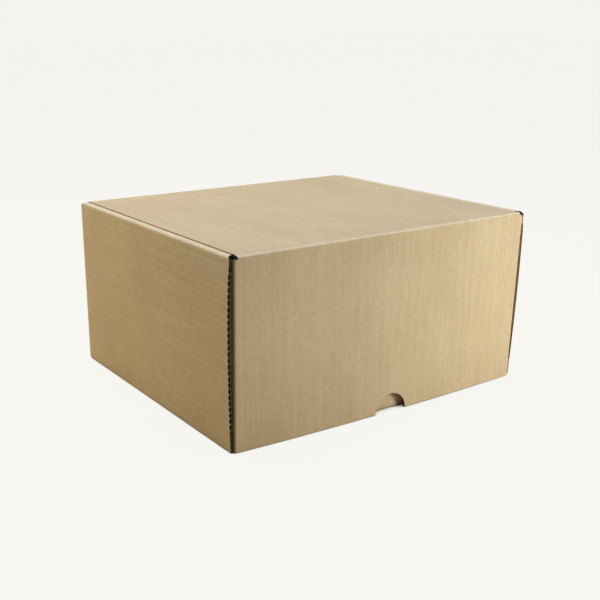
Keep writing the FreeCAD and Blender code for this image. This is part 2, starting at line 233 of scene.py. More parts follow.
choose("EDGE", lambda x, y, z: near(y, FRONT_CREASE) and between(abs(x), 0, FRONT_WALL_HALF) and z < BOARD)
fold((0, FRONT_CREASE, BEND), (1, 0, 0), -90)
run((0, 0, TUCK_FOOT - BEND), (0, 0, TUCK_HEAD - TUCK_FOOT), (0, 0, FRONT_WALL_TOP - TUCK_HEAD))
choose("EDGE", lambda x, y, z: near(y, REAR_CREASE) and between(abs(x), 0, REAR_WALL_HALF) and z < BOARD)
fold((0, REAR_CREASE, BEND), (1, 0, 0), 90)
run((0, 0, TUCK_FOOT - BEND), (0, 0, TUCK_HEAD - TUCK_FOOT),
    (0, 0, FOLD_LEVEL - CREASE_MARGIN - TUCK_HEAD), (0, 0, CREASE_MARGIN))
print("front wall", FRONT_WALL_TOP, "mm high, rear wall up to the lid's fold at", round(FOLD_LEVEL, 1), "mm")

# %% Their tucks
FRONT_MID = FRONT_CREASE - TURN
REAR_MID = REAR_CREASE + TURN
TUCK_LENGTH = 46.0
TUCK_TAPER = 6.0
TUCK_ROUND = 6.0


def tuck(side, wall_half, wall_mid, crease, inward):
    """Turn one end of a wall back along the side: a full-height fold, then the narrower tuck itself."""
    choose("EDGE", lambda x, y, z: near(x, side * wall_half) and near(y, wall_mid)
           and between(z, BEND, HEIGHT))
    fold((side * wall_half, crease, 0), (0, 0, 1), side * inward * 90)
    middle = side * (wall_half + TURN)
    choose("EDGE", lambda x, y, z: near(x, middle) and near(y, crease) and between(z, TUCK_FOOT, TUCK_HEAD))
    run((0, inward * CREASE_MARGIN, 0), (0, inward * (TUCK_LENGTH - CREASE_MARGIN), 0))
    tip = crease + inward * TUCK_LENGTH
    for level, step in ((TUCK_FOOT, TUCK_TAPER), (TUCK_HEAD, -TUCK_TAPER)):
        shift(lambda x, y, z: near(x, middle) and near(y, tip) and near(z, level), (0, 0, step))
    choose("VERT", lambda x, y, z: near(x, middle) and near(y, tip))
    bpy.ops.mesh.bevel(offset=TUCK_ROUND * MM, segments=5, affect="VERTICES")


for side in (-1, 1):
    tuck(side, FRONT_WALL_HALF, FRONT_MID, FRONT_CREASE, 1)
    tuck(side, REAR_WALL_HALF, REAR_MID, REAR_CREASE, -1)
print("four tucks folded,", TUCK_LENGTH, "mm long")

# %% [markdown]
# ## The lid
# The lid is the middle of the rear wall carried on over the top, so its rear edge is a fold and needs no
# hinge. Its front corners flare a little, where the side walls' strips are cut away, and it stops just
# behind the crease that the front flap hangs on.

# %% The lid
HINGE = -85.45
LID_END = HINGE + 0.5
FLARE_START = -82.2
LID_FLARE = 0.7
LID_MID = HEIGHT - BOARD / 2
LID_PARTS = 6

choose("EDGE", lambda x, y, z: near(y, REAR_MID) and near(z, FOLD_LEVEL) and between(abs(x), 0, LID_HALF))
fold((0, REAR_CREASE, FOLD_LEVEL), (1, 0, 0), 90)
lid_length = REAR_CREASE - FLARE_START
run(*parts_of((0, -lid_length, 0), LID_PARTS, CREASE_MARGIN, CREASE_MARGIN), (0, LID_END - FLARE_START, 0))
for side in (-1, 1):
    shift(lambda x, y, z: near(x, side * LID_HALF) and near(y, LID_END) and near(z, LID_MID),
          (side * LID_FLARE, 0, 0))
print("the lid ends", round(LID_END - HINGE, 2), "mm behind the hinge")

# %% [markdown]
# ## The roll-over side walls
# Each side wall goes up, over a narrow strip on top and down again inside, where its two tabs lock into
# the base. A plain double wall would look the same from outside, but the fold over the top shows at the
# corners, and the inner wall shows once the flap is open. So the whole chain is folded, and its rows
# are kept, for the bulge that comes next.

# %% Draw in a row
INNER_FRONT = -81.93
INNER_REAR = 86.15


def draw_in(front, rear):
    """Draw the two ends of the chosen row of corners in to new places, and leave its middle alone."""
    mesh = bpy.context.edit_object.data
    middle = TAB_CENTRE + SLOT_HALF
    row = [corner for corner in bmesh.from_edit_mesh(mesh).verts if corner.select]
    ends = min(corner.co.y for corner in row) / MM, max(corner.co.y for corner in row) / MM
    for corner in row:
        y = corner.co.y / MM
        if abs(y) > middle:
            old, new = (ends[0], front) if y < 0 else (ends[1], rear)
            start = math.copysign(middle, y)
            corner.co.y = (start + (y - start) * (new - start) / (old - start)) * MM
    bmesh.update_edit_mesh(mesh)


print("inner walls from", INNER_FRONT, "to", INNER_REAR, "mm")

# %% Side walls, strips and inner walls
STRIP_CREASE = 101.2
CRANK_TOP = HEIGHT - 5.4
CRANK_BOTTOM = HEIGHT - 19.4
CRANK = 1.6
INNER_FOOT = 1.62
TAB_FOOT = 0.15
SIDE_ROWS = 24


def side_wall(side):
    """One roll-over side wall, from the base's crease to the tabs at its inner foot."""
    choose("EDGE", lambda x, y, z: near(x, side * SIDE_CREASE) and z < BOARD)
    fold((side * SIDE_CREASE, 0, BEND), (0, 1, 0), -side * 90)
    run(*parts_of((0, 0, FOLD_LEVEL - BEND), SIDE_ROWS, BEND, BEND))
    fold((side * SIDE_CREASE, 0, FOLD_LEVEL), (0, 1, 0), -side * 90)
    run((side * (STRIP_CREASE - SIDE_CREASE), 0, 0))
    draw_in(INNER_FRONT, INNER_REAR)
    fold((side * STRIP_CREASE, 0, FOLD_LEVEL), (0, 1, 0), -side * 90)
    run((0, 0, CRANK_TOP - FOLD_LEVEL), (-side * CRANK, 0, CRANK_BOTTOM - CRANK_TOP),
        (0, 0, INNER_FOOT - CRANK_BOTTOM))
    inner = side * (STRIP_CREASE - TURN - CRANK)
    choose("EDGE", lambda x, y, z: near(x, inner) and near(z, INNER_FOOT)
           and between(abs(y), TAB_CENTRE - TAB_HALF, TAB_CENTRE + TAB_HALF))
    run((0, 0, TAB_FOOT - INNER_FOOT))


for side in (-1, 1):
    side_wall(side)
# The foot of each front corner gap is open, so the base ends at the front wall's crease there.
choose("FACE", lambda x, y, z: between(abs(x), FRONT_WALL_HALF, SIDE_CREASE)
       and between(y, SIDE_FRONT, FRONT_CREASE) and z < BOARD)
bpy.ops.mesh.delete(type="FACE")
bpy.ops.object.mode_set(mode="OBJECT")
print("side walls rolled over,", len(box_sheet.data.polygons), "faces in the sheet")

# %% [markdown]
# ## Bulged walls and rounded folds
# The lock flaps push the outer layer outwards at the front, so it bulges there, and the bulge fades to
# nothing at the rear. It is most at mid height: a parabola up to a knee below the top fold, and straight
# from there, as the fold holds it in. A lattice could bend the wall too, but a rule keeps the bulge the
# same as the measured one. The ends of the top fold draw in as it turns, which rounds them.

# %% Bulge the walls and draw in the folds' ends
FOLD_FRONT = -83.3
FOLD_REAR = 86.9
BULGE_FOOT = 3.2
BULGE_KNEE = 93.2
BULGE_TOP = 101.2
BULGE_AT_KNEE = 0.85
BULGE_RISE = 4.15


def bulge(y, z):
    """How far the outer side wall stands out, in mm: most at mid height and at the front edge."""
    share = (SIDE_REAR - y) / (SIDE_REAR - SIDE_FRONT)
    if z > BULGE_KNEE:
        height = BULGE_AT_KNEE * max(0.0, BULGE_TOP - z) / (BULGE_TOP - BULGE_KNEE)
    else:
        t = max(0.0, z - BULGE_FOOT) / (BULGE_KNEE - BULGE_FOOT)
        height = BULGE_RISE * t - (BULGE_RISE - BULGE_AT_KNEE) * t * t
    return height * min(1.0, max(0.0, share))


for corner in box_sheet.data.vertices:
    x, y, z = corner.co / MM
    if near(abs(x), HALF_WIDTH - BOARD / 2) and BULGE_FOOT < z < BULGE_TOP:
        corner.co.x += math.copysign(bulge(y, z), x) * MM
    above_fold = z > FOLD_LEVEL + SLACK and between(abs(x), SIDE_CREASE, HALF_WIDTH)
    if above_fold and abs(y) > TAB_CENTRE + SLOT_HALF:
        turned = math.atan2(z - FOLD_LEVEL, abs(x) - SIDE_CREASE) / math.radians(90)
        start = math.copysign(TAB_CENTRE + SLOT_HALF, y)
        old, new = (SIDE_FRONT, FOLD_FRONT) if y < 0 else (SIDE_REAR, FOLD_REAR)
        corner.co.y += (y - start) / (old - start) * (new - old) * turned * MM
print("the walls stand out by up to", round(max(bulge(SIDE_FRONT, z) for z in range(100)), 2), "mm")

# %% [markdown]
# ## The front flap
# The lid's front edge turns down through a crease into the flap, and the flap's ends turn back as lock
# flaps that slide in behind the side walls. The flap opens, so it is a sheet of its own that starts at
# the crease. It is straight along its flutes but bows outwards at its foot, so it gets many narrow
# columns and is bowed as a ruled surface.

# %% The flap and its crease
CREASE_HALF = 100.0
FLAP_HALF = 101.15
FLAP_MID = HINGE - TURN
FLAP_FOOT = 0.3
FLAP_COLUMNS = 40
FLAP_ROWS = 12
SHOULDER_DEPTH = 2.0
EAR_FOOT = 4.0
EAR_HEAD = 95.4

flap_sheet = start_sheet("flap_sheet", (-CREASE_HALF, HINGE), (CREASE_HALF, LID_END), LID_MID)
for column in range(1, FLAP_COLUMNS):
    score((CREASE_HALF * (2 * column / FLAP_COLUMNS - 1), 0, 0), (1, 0, 0))
choose("EDGE", lambda x, y, z: near(y, HINGE))
fold((0, HINGE, FOLD_LEVEL), (1, 0, 0), 90)
run((0, 0, -SHOULDER_DEPTH))
for side in (-1, 1):
    choose("EDGE", lambda x, y, z: near(x, side * CREASE_HALF) and near(y, FLAP_MID)
           and between(z, 0, FOLD_LEVEL))
    run((side * (FLAP_HALF - CREASE_HALF), 0, 0))
choose("EDGE", lambda x, y, z: near(z, FOLD_LEVEL - SHOULDER_DEPTH) and near(y, FLAP_MID))
run((0, 0, EAR_HEAD - FOLD_LEVEL + SHOULDER_DEPTH), *[(0, 0, (EAR_FOOT - EAR_HEAD) / FLAP_ROWS)] * FLAP_ROWS,
    (0, 0, FLAP_FOOT - EAR_FOOT))
print("the flap's foot is", FLAP_FOOT, "mm above the floor")

# %% Its lock flaps
EAR_LENGTH = 21.9
EAR_TAPER = 9.0
EAR_ROUND = 9.0


def lock_flap(side):
    """One lock flap: the flap's end turned back, narrowed and rounded at its tip."""
    choose("EDGE", lambda x, y, z: near(x, side * FLAP_HALF) and near(y, FLAP_MID))
    fold((side * FLAP_HALF, HINGE, 0), (0, 0, 1), side * 90)
    middle = side * (FLAP_HALF + TURN)
    choose("EDGE", lambda x, y, z: near(x, middle) and near(y, HINGE) and between(z, EAR_FOOT, EAR_HEAD))
    run((0, CREASE_MARGIN, 0), (0, EAR_LENGTH - CREASE_MARGIN, 0))
    tip = HINGE + EAR_LENGTH
    for level, step in ((EAR_FOOT, EAR_TAPER), (EAR_HEAD, -EAR_TAPER)):
        shift(lambda x, y, z: near(x, middle) and near(y, tip) and near(z, level), (0, 0, step))
    choose("VERT", lambda x, y, z: near(x, middle) and near(y, tip)
           and (near(z, EAR_FOOT + EAR_TAPER) or near(z, EAR_HEAD - EAR_TAPER)))
    bpy.ops.mesh.bevel(offset=EAR_ROUND * MM, segments=6, affect="VERTICES")


for side in (-1, 1):
    lock_flap(side)
bpy.ops.object.mode_set(mode="OBJECT")
print("two lock flaps folded,", EAR_LENGTH, "mm long")

# %% Bow the flap
FLAP_BOW = 2.6


def bow(x, z):
    """How far the flap stands forward of flat, in mm: most at the middle of its foot."""
    across = 1 - (x / FLAP_HALF) ** 2
    return FLAP_BOW * max(0.0, across) * max(0.0, FOLD_LEVEL - z) / (FOLD_LEVEL - FLAP_FOOT)


for corner in flap_sheet.data.vertices:
    x, y, z = corner.co / MM
    if near(y, FLAP_MID) and abs(x) < FLAP_HALF and z < FOLD_LEVEL:
        corner.co.y -= bow(x, z) * MM
print("the foot bows out by", round(bow(0, FLAP_FOOT), 1), "mm,", len(flap_sheet.data.polygons), "faces")

# %% [markdown]
# ## How a finish is built
# A finish is a small tree of nodes that works a colour out from a place on the board. It needs no picture
# and looks the same from every side. One helper adds a node with its settings and links. Colours are
# written as on a paint chart and turned into the linear light that the shader mixes, and the scale of a
# pattern comes from the size of the real marks.

# %% Nodes, colours and scales
def linear(code):
    """A hex sRGB colour as linear red, green, blue and alpha."""
    channels = [int(code[i:i + 2], 16) / 255 for i in (1, 3, 5)]
    return [c / 12.92 if c <= 0.04045 else ((c + 0.055) / 1.055) ** 2.4 for c in channels] + [1.0]


def add(tree, kind, links=(), **settings):
    """Add a node: settings named in_NAME or in_NUMBER fill its sockets, the others its properties."""
    node = tree.nodes.new(kind)
    for key, value in settings.items():
        if key.startswith("in_"):
            socket = key[3:]
            node.inputs[int(socket) if socket.isdigit() else socket.replace("_", " ")].default_value = value
        else:
            setattr(node, key, value)
    for socket, source in dict(links).items():
        tree.links.new(source, node.inputs[socket])
    return node


def per(size):
    """The scale of a pattern whose marks are this many millimetres apart."""
    return 1 / (size * MM)


def new_finish(name, roughness):
    """A new material with its tree, its shader and the place on the piece that its patterns read."""
    material = bpy.data.materials.new(name)
    material.use_nodes = True
    tree = material.node_tree
    shader = tree.nodes["Principled BSDF"]
    shader.inputs["Roughness"].default_value = roughness
    return material, tree, shader, add(tree, "ShaderNodeTexCoord").outputs["Object"]


print("marks 3 mm apart need a scale of", round(per(3)))

# %% [markdown]
# ## The flutes beneath the paper
# The liner is glued to the tops of a wavy inner paper, so it sinks a little between them: the real board
# has a faint washboard, and streaks where the glue or the roller marked it. Modelling each wave would
# take many faces for a height that only the light shows. A sine at the flutes' pitch, and noise drawn
# out along them, give both. A side wall's flutes are spaced by height, and go on round its top fold when
# they are measured by height and distance from the middle together.

# %% Flutes and streaks
FLUTE_PITCH = 3.32
STREAK_WIDTH = 2.38
STREAK_LENGTH = 71.4


def flute_wave(tree, place, across):
    """A sine that rises and falls once for each flute, along the axis that the flutes are spaced on."""
    axes = add(tree, "ShaderNodeSeparateXYZ", {0: place})
    if across == "height":
        out = add(tree, "ShaderNodeMath", {0: axes.outputs["X"]}, operation="ABSOLUTE")
        line = add(tree, "ShaderNodeMath", {0: axes.outputs["Z"], 1: out.outputs[0]},
                   operation="SUBTRACT").outputs[0]
    else:
        line = axes.outputs[{"width": "X", "depth": "Y"}[across]]
    turn = add(tree, "ShaderNodeMath", {0: line}, operation="MULTIPLY", in_1=2 * math.pi / (FLUTE_PITCH * MM))
    return add(tree, "ShaderNodeMath", {0: turn.outputs[0]}, operation="SINE").outputs[0]


def flute_streaks(tree, place, across):
    """Soft streaks along the flutes."""
    fine, drawn = per(STREAK_WIDTH), per(STREAK_LENGTH)
    scales = {"width": (fine, drawn, drawn), "depth": (drawn, fine, drawn), "height": (fine, drawn, fine)}
    lay = add(tree, "ShaderNodeMapping", {0: place}, in_3=scales[across])
    return add(tree, "ShaderNodeTexNoise", {0: lay.outputs[0]}, in_Scale=1.0, in_Detail=2.0).outputs[0]


print("a flute every", FLUTE_PITCH, "mm")

# %% [markdown]
# ## Fibres and specks
# Kraft paper is pressed from long, unbleached wood fibres, which lie every way and leave a fine felt, and
# bits of bark stay in it as dark specks. One fibre is about 0.03 mm wide, too fine to show here, so
# bundles about 0.45 mm wide and 2.2 mm long are drawn in three directions. The specks are the middles of
# a few of the cells of a Voronoi pattern.

# %% Fibres and specks
FIBRES = ((0.5, 2.2, 0.45), (-0.9, 2.0, 0.4), (1.9, 2.4, 0.5))
SPECK_SPACING = 14.3


def fibres(tree, place):
    """The sum of three noises, each drawn out along a direction of its own."""
    strands = []
    for angle, length, width in FIBRES:
        lay = add(tree, "ShaderNodeMapping", {0: place}, in_2=(angle, angle * 0.7, angle),
                  in_3=(per(length), per(width), per(width)))
        strands.append(add(tree, "ShaderNodeTexNoise", {0: lay.outputs[0]}, in_Scale=1.0, in_Detail=1.0))
    both = add(tree, "ShaderNodeMath", {0: strands[0].outputs[0], 1: strands[1].outputs[0]}, operation="ADD")
    three = add(tree, "ShaderNodeMath", {0: both.outputs[0], 1: strands[2].outputs[0]}, operation="ADD")
    return three.outputs[0]


def specked(tree, place, colour):
    """A colour with bark specks 0.2 to 0.5 mm in radius, in one cell of seventeen."""
    cells = add(tree, "ShaderNodeTexVoronoi", {0: place}, in_Scale=per(SPECK_SPACING))
    chance = add(tree, "ShaderNodeSeparateColor", {0: cells.outputs["Color"]})
    few = add(tree, "ShaderNodeMath", {0: chance.outputs[0]}, operation="LESS_THAN", in_1=0.06)
    size = add(tree, "ShaderNodeMapRange", {0: chance.outputs[1]}, in_3=0.015, in_4=0.035)
    dot = add(tree, "ShaderNodeMath", {0: cells.outputs["Distance"], 1: size.outputs[0]},
              operation="LESS_THAN")
    speck = add(tree, "ShaderNodeMath", {0: few.outputs[0], 1: dot.outputs[0]}, operation="MULTIPLY")
    return add(tree, "ShaderNodeMix", {0: speck.outputs[0], 6: colour}, data_type="RGBA",
               in_7=linear("#8A5A3A")).outputs[2]


print(len(FIBRES), "directions of fibres, specks up to", round(0.035 * SPECK_SPACING, 1), "mm in radius")

# %% [markdown]
# ## Brown kraft liner
# The outer papers are uncoated kraft liner, dried flat and never polished. That gives the eye a matt warm
# brown with soft clouds, a mottle of about 3 mm and the marks of the last two steps. The folds are painted:
# the upper half of a level fold is paler, partly as whitened crushed paper and partly as a painted
# highlight, and an upright fold is painted darker brown as painted shade. The sheet carries a mark for
# that on its corners, named crease, which the next step sets.

# %% Kraft liner
CLOUD_SIZE = 45.5
MOTTLE_SIZE = 3.03
WAVE_RELIEF = 0.017
FIBRE_RELIEF = 0.022


def creased(tree, mottle, colour):
    """A colour paler where the crease mark is above nought (crushed paper and a painted highlight), and
    darker where it is below (painted shade).
    """
    crease = add(tree, "ShaderNodeAttribute", attribute_name="crease")
    # Level folds: paler, partly whitened crushed paper and partly a painted highlight.
    crushed_and_highlight = add(tree, "ShaderNodeMath", {0: crease.outputs["Fac"], 1: mottle}, operation="MULTIPLY",
               use_clamp=True)
    # Upright folds: painted shade, down to a fifth of the brown.
    painted_fold_shade = add(tree, "ShaderNodeMapRange", {0: crease.outputs["Fac"]}, in_1=-1.0, in_2=0.0, in_3=0.2,
                 in_4=1.0)
    fold_shaded_colour = add(tree, "ShaderNodeMix", {6: colour, 7: painted_fold_shade.outputs[0]}, data_type="RGBA",
                  blend_type="MULTIPLY", in_0=1.0)
    return add(tree, "ShaderNodeMix", {0: crushed_and_highlight.outputs[0], 6: fold_shaded_colour.outputs[2]}, data_type="RGBA",
               in_7=linear("#E8D9B8")).outputs[2]


def kraft(across):
    """Kraft liner over flutes that are spaced across the box's width, depth or height."""
    material, tree, shader, place = new_finish("kraft_across_" + across, 0.72)
    shader.inputs["IOR"].default_value = 1.47
    wave = flute_wave(tree, place, across)
    fibre = fibres(tree, place)
    cloud = add(tree, "ShaderNodeTexNoise", {0: place}, in_Scale=per(CLOUD_SIZE), in_Detail=3.0)
    mottle = add(tree, "ShaderNodeTexNoise", {0: place}, in_Scale=per(MOTTLE_SIZE), in_Detail=3.0,
                 in_Roughness=0.6).outputs[0]
    pale = add(tree, "ShaderNodeValToRGB", {0: cloud.outputs[0]})
    for stop, position, code in zip(pale.color_ramp.elements, (0.3, 0.7), ("#C1AB83", "#C9B48C")):
        stop.position = position
        stop.color = linear(code)

    # Each pattern, the range of it that counts, and what it multiplies the brown by at both ends.
    shades = [(wave, -1.0, 1.0, 0.99, 1.006), (flute_streaks(tree, place, across), 0.35, 0.65, 0.96, 1.032),
              (mottle, 0.3, 0.7, 0.945, 1.05), (fibre, 1.1, 1.9, 0.93, 1.06)]
    colour = pale.outputs[0]
    for value, low, high, dark, light in shades:
        shade = add(tree, "ShaderNodeMapRange", {0: value}, in_1=low, in_2=high, in_3=dark, in_4=light)
        colour = add(tree, "ShaderNodeMix", {6: colour, 7: shade.outputs[0]}, data_type="RGBA",
                     blend_type="MULTIPLY", in_0=1.0).outputs[2]
    colour = creased(tree, mottle, specked(tree, place, colour))
    tree.links.new(colour, shader.inputs["Base Color"])

    relief = add(tree, "ShaderNodeMath", {0: wave}, operation="MULTIPLY", in_1=WAVE_RELIEF)
    fuzz = add(tree, "ShaderNodeMath", {0: fibre}, operation="MULTIPLY", in_1=FIBRE_RELIEF)
    height = add(tree, "ShaderNodeMath", {0: relief.outputs[0], 1: fuzz.outputs[0]}, operation="ADD")
    bump = add(tree, "ShaderNodeBump", {"Height": height.outputs[0]}, in_Strength=1.0, in_Distance=MM)
    tree.links.new(bump.outputs[0], shader.inputs["Normal"])
    return material


liners = [kraft(across) for across in ("width", "depth", "height")]
print([liner.name for liner in liners])

# %% [markdown]
# ## Cut paper
# Where the die cut the board, the eye meets torn fibres: rough, with no shine, and painted browner than
# the liner as painted shade. The papers inside a flute are painted nearly black, as painted shade where
# hardly any light gets there. Both are one kind of finish, a mottle between two browns about as coarse
# as the fibre bundles.

# %% Cut edges and flute mouths
CUT_EDGE_GRAIN = 1.11
FLUTING_GRAIN = 1.43


def torn_paper(name, dark, light, grain):
    """Torn paper, mottled between two browns."""
    material, tree, shader, place = new_finish(name, 0.95)
    ragged = add(tree, "ShaderNodeTexNoise", {0: place}, in_Scale=per(grain), in_Detail=3.0)
    brown = add(tree, "ShaderNodeValToRGB", {0: ragged.outputs[0]})
    for stop, position, code in zip(brown.color_ramp.elements, (0.35, 0.65), (dark, light)):
        stop.position = position
        stop.color = linear(code)
    tree.links.new(brown.outputs[0], shader.inputs["Base Color"])
    return material


# Both pairs of browns are darker than the board's own colour: painted shade on the cut edges, near-black
# painted shade in the flutes.
edge_finish = torn_paper("kraft_cut_edge", "#8A6C40", "#B5955F", CUT_EDGE_GRAIN)
hollow_shade_finish = torn_paper("fluting_painted_shade", "#180F08", "#2E2012", FLUTING_GRAIN)
print(edge_finish.name, "and", hollow_shade_finish.name)

# %% [markdown]
# ## The dashed cut edge
# Looked at along its cut, a side wall shows a dark line with pale dashes: the wavy paper reaches the
# outer liner once per flute, and there its tip catches the light. The hollows are cut for real further
# on, but the tips are thinner than a pixel, so the edge's colour is painted with the same wave and starts
# at the same height as the hollows: the dark line is painted shade and the dashes a painted highlight.

# %% The side wall's cut edge
SIDE_HOLLOWS = 26
FIRST_HOLLOW = 13.36


def fluted_edge(name, dark, light):
    """A cut edge painted dark as shade, with a painted highlight at each flute's tip, over the heights that
    have hollows.
    """
    material, tree, shader, place = new_finish(name, 0.95)
    axes = add(tree, "ShaderNodeSeparateXYZ", {0: place})
    above = add(tree, "ShaderNodeMath", {0: axes.outputs["Z"]}, operation="SUBTRACT", in_1=FIRST_HOLLOW * MM)
    turn = add(tree, "ShaderNodeMath", {0: above.outputs[0]}, operation="MULTIPLY",
               in_1=2 * math.pi / (FLUTE_PITCH * MM))
    wave = add(tree, "ShaderNodeMath", {0: turn.outputs[0]}, operation="COSINE")
    tip = add(tree, "ShaderNodeMapRange", {0: wave.outputs[0]}, in_1=0.3, in_2=0.95)
    middle = FIRST_HOLLOW + (SIDE_HOLLOWS - 1) / 2 * FLUTE_PITCH
    fluted = add(tree, "ShaderNodeMath", {0: axes.outputs["Z"]}, operation="COMPARE", in_1=middle * MM,
                 in_2=SIDE_HOLLOWS / 2 * FLUTE_PITCH * MM)
    pale = add(tree, "ShaderNodeMath", {0: tip.outputs[0], 1: fluted.outputs[0]}, operation="MULTIPLY")
    colour = add(tree, "ShaderNodeMix", {0: pale.outputs[0]}, data_type="RGBA", in_6=linear(dark),
                 in_7=linear(light))
    tree.links.new(colour.outputs[2], shader.inputs["Base Color"])
    return material


# The dark brown is painted shade and the pale dashes, paler than the liner, are a painted highlight.
dashed_finish = fluted_edge("fluted_cut_edge", "#2A1D12", "#CFC0A0")
print(dashed_finish.name, "has a dash every", FLUTE_PITCH, "mm")

# %% [markdown]
# ## One finish for three directions
# The flutes run from front to back in the flat sheet. On the lid, the base, the walls and the flap they
# are spaced across the width, on the side walls across the height, and on the tucks and lock flaps across
# the depth. The three liners differ in that direction alone. Painting the sheet by hand would do as well,
# but a rule on each face's place and direction also holds after a change of size.

# %% Sort the faces by the direction of their flutes
ACROSS_WIDTH, ACROSS_DEPTH, ACROSS_HEIGHT, CUT_EDGE, DASHED_EDGE, HOLLOW_SHADE = range(6)
STRIP_START = 99.5


def sort_faces(sheet):
    """Give each face the liner whose flutes run as the board's do there."""
    for face in sheet.data.polygons:
        x, y, z = (abs(part) for part in face.center / MM)
        upright = abs(face.normal.x) > 0.7
        if sheet.name == "box_sheet" and (near(x, HALF_WIDTH - BOARD / 2, 2.2) and z > BOARD
                                          or x > STRIP_START and between(z, FOLD_LEVEL, HEIGHT)
                                          or upright and x < STRIP_CREASE - TURN - 0.01):
            face.material_index = ACROSS_HEIGHT
        elif upright:
            face.material_index = ACROSS_DEPTH


for sheet in (box_sheet, flap_sheet):
    for finish in (*liners, edge_finish):
        sheet.data.materials.append(finish)
    sort_faces(sheet)
    indices = [face.material_index for face in sheet.data.polygons]
    print(sheet.name, "has", [indices.count(index) for index in range(CUT_EDGE)], "faces by direction")

# %% [markdown]
# ## Marking the creases
# A crease crushes the flutes and stretches the paper. The mark that the liner reads is set while the
# sheet is still a bare surface, where a fold is simply a run of edges between faces that turn, and the
# thickness then carries it to both sides. It could be painted as a vertex colour by hand. Finding the
# folds by their angle does the same and misses none.

# %% Mark the creases
def mark_creases(sheet):
    """Store 1 on top of the level folds, painted pale as crushed paper and highlight, -1 on upright ones,
    painted dark as shade.
    """
    shape = bmesh.new()
    shape.from_mesh(sheet.data)
    shape.normal_update()
    marks = {}
    for edge in shape.edges:
        if len(edge.link_faces) == 2 and math.radians(4) < edge.calc_face_angle(0.0) < math.radians(60):
            way = edge.verts[1].co - edge.verts[0].co
            for vert in edge.verts:
                if abs(way.z) > 0.8 * way.length and abs(vert.normal.x) > 0.6:
                    marks[vert.index] = -vert.normal.x ** 2
                elif (abs(vert.normal.z) > 0.6 and vert.co.z > HEIGHT / 2 * MM
                      and abs(way.z) < 0.2 * way.length):
                    marks[vert.index] = 1.0
    shape.free()
    mark = sheet.data.attributes.new("crease", "FLOAT", "POINT")
    mark.data.foreach_set("value", [marks.get(index, 0.0) for index in range(len(sheet.data.vertices))])
    return len(marks)


def pick(*things):
    """Select these objects alone and make the first one active."""
    bpy.ops.object.select_all(action="DESELECT")
    for thing in things:
        thing.select_set(True)
    bpy.context.view_layer.objects.active = things[0]


for sheet in (box_sheet, flap_sheet):
    pick(sheet)
    bpy.ops.object.mode_set(mode="EDIT")
    bpy.ops.mesh.select_all(action="SELECT")
    bpy.ops.mesh.remove_doubles(threshold=WELD)
    bpy.ops.mesh.normals_make_consistent(inside=False)
    bpy.ops.object.mode_set(mode="OBJECT")
    print(sheet.name, "has", mark_creases(sheet), "corners on creases")

# %% [markdown]
# ## Thickness
# The board is 1.5 mm thick everywhere, so the thickness is made once, at the end, and not wall by wall.
# Solidify puts half of it on each side of the middle surface and closes the cut edges with faces of
# their own finish. Two sets of those are then told apart: the ends deep in the corner holes, which get
# the hollows' near-black painted shade, and the left wall's upright ends, which show the painted dashes.

# %% Thicken both sheets
CORNER_HOLE = (99.2, 81.0, 99.4)
WALL_END = (102.9, 85.5)


def thicken(sheet):
    """Give the bare sheet the board's thickness, with the cut edge's finish on its rims."""
    board = sheet.modifiers.new("board", "SOLIDIFY")
    board.thickness = BOARD * MM
    board.offset = 0
    board.use_even_offset = True
    board.material_offset_rim = CUT_EDGE
    bpy.ops.object.modifier_apply(modifier=board.name)


def sort_edges(sheet):
    """Paint the cut edges in the corner holes with the hollows' painted shade, and give the left wall's ends
    the dashed finish.
    """
    for face in sheet.data.polygons:
        x, y, z = (abs(part) for part in face.center / MM)
        if face.material_index == CUT_EDGE:
            if x > CORNER_HOLE[0] and y > CORNER_HOLE[1] and z > CORNER_HOLE[2]:
                face.material_index = HOLLOW_SHADE
            elif face.center.x < 0 and x > WALL_END[0] and y > WALL_END[1]:
                face.material_index = DASHED_EDGE


def shell_facts(sheet):
    """A closed sheet's volume in cubic centimetres, and its open edges, turned edges and faces."""
    shape = bmesh.new()
    shape.from_mesh(sheet.data)
    volume = shape.calc_volume(signed=True) * 1e6
    loose = sum(1 for edge in shape.edges if not edge.is_manifold)
    turned = sum(1 for edge in shape.edges if edge.is_manifold and not edge.is_contiguous)
    shape.free()
    return (f"{sheet.name}: {volume:.2f} cm3, {loose} open edges, {turned} turned edges, "
            f"{len(sheet.data.polygons)} faces")


for sheet in (box_sheet, flap_sheet):
    pick(sheet)
    thicken(sheet)
    sheet.data.materials.append(dashed_finish)
    sheet.data.materials.append(hollow_shade_finish)
    sort_edges(sheet)
    print(shell_facts(sheet))

# %% [markdown]
# ## Finger notch
# A half-round cut in the flap's foot lets a finger draw it open. On the real sheet the die cuts it with
# the outline. Here it comes after the thickness, because a drum taken out of the finished board leaves a
# clean round edge square to both papers, which a notch in the bare sheet's outline would only step.

# %% Cut the finger notch
NOTCH_RADIUS = 11.2
NOTCH_X = 1.85


def cut(sheet, cutter):
    """Cut a closed shape out of a sheet, keep the shape's finish on the cut, and throw the shape away."""
    pick(sheet)
    step = sheet.modifiers.new("cut", "BOOLEAN")
    step.operation = "DIFFERENCE"
    step.solver = "MANIFOLD"
    step.object = cutter
    step.material_mode = "TRANSFER"
    bpy.ops.object.modifier_apply(modifier=step.name)
    bpy.data.objects.remove(cutter)


bpy.ops.object.select_all(action="DESELECT")
bpy.ops.mesh.primitive_cylinder_add(vertices=72, radius=NOTCH_RADIUS * MM, depth=12 * MM,
                                    location=mm(NOTCH_X, FLAP_MID, 0), rotation=(math.radians(90), 0, 0))
notch_drum = bpy.context.object
notch_drum.data.materials.append(edge_finish)
cut(flap_sheet, notch_drum)
print("finger notch cut;", shell_facts(flap_sheet))

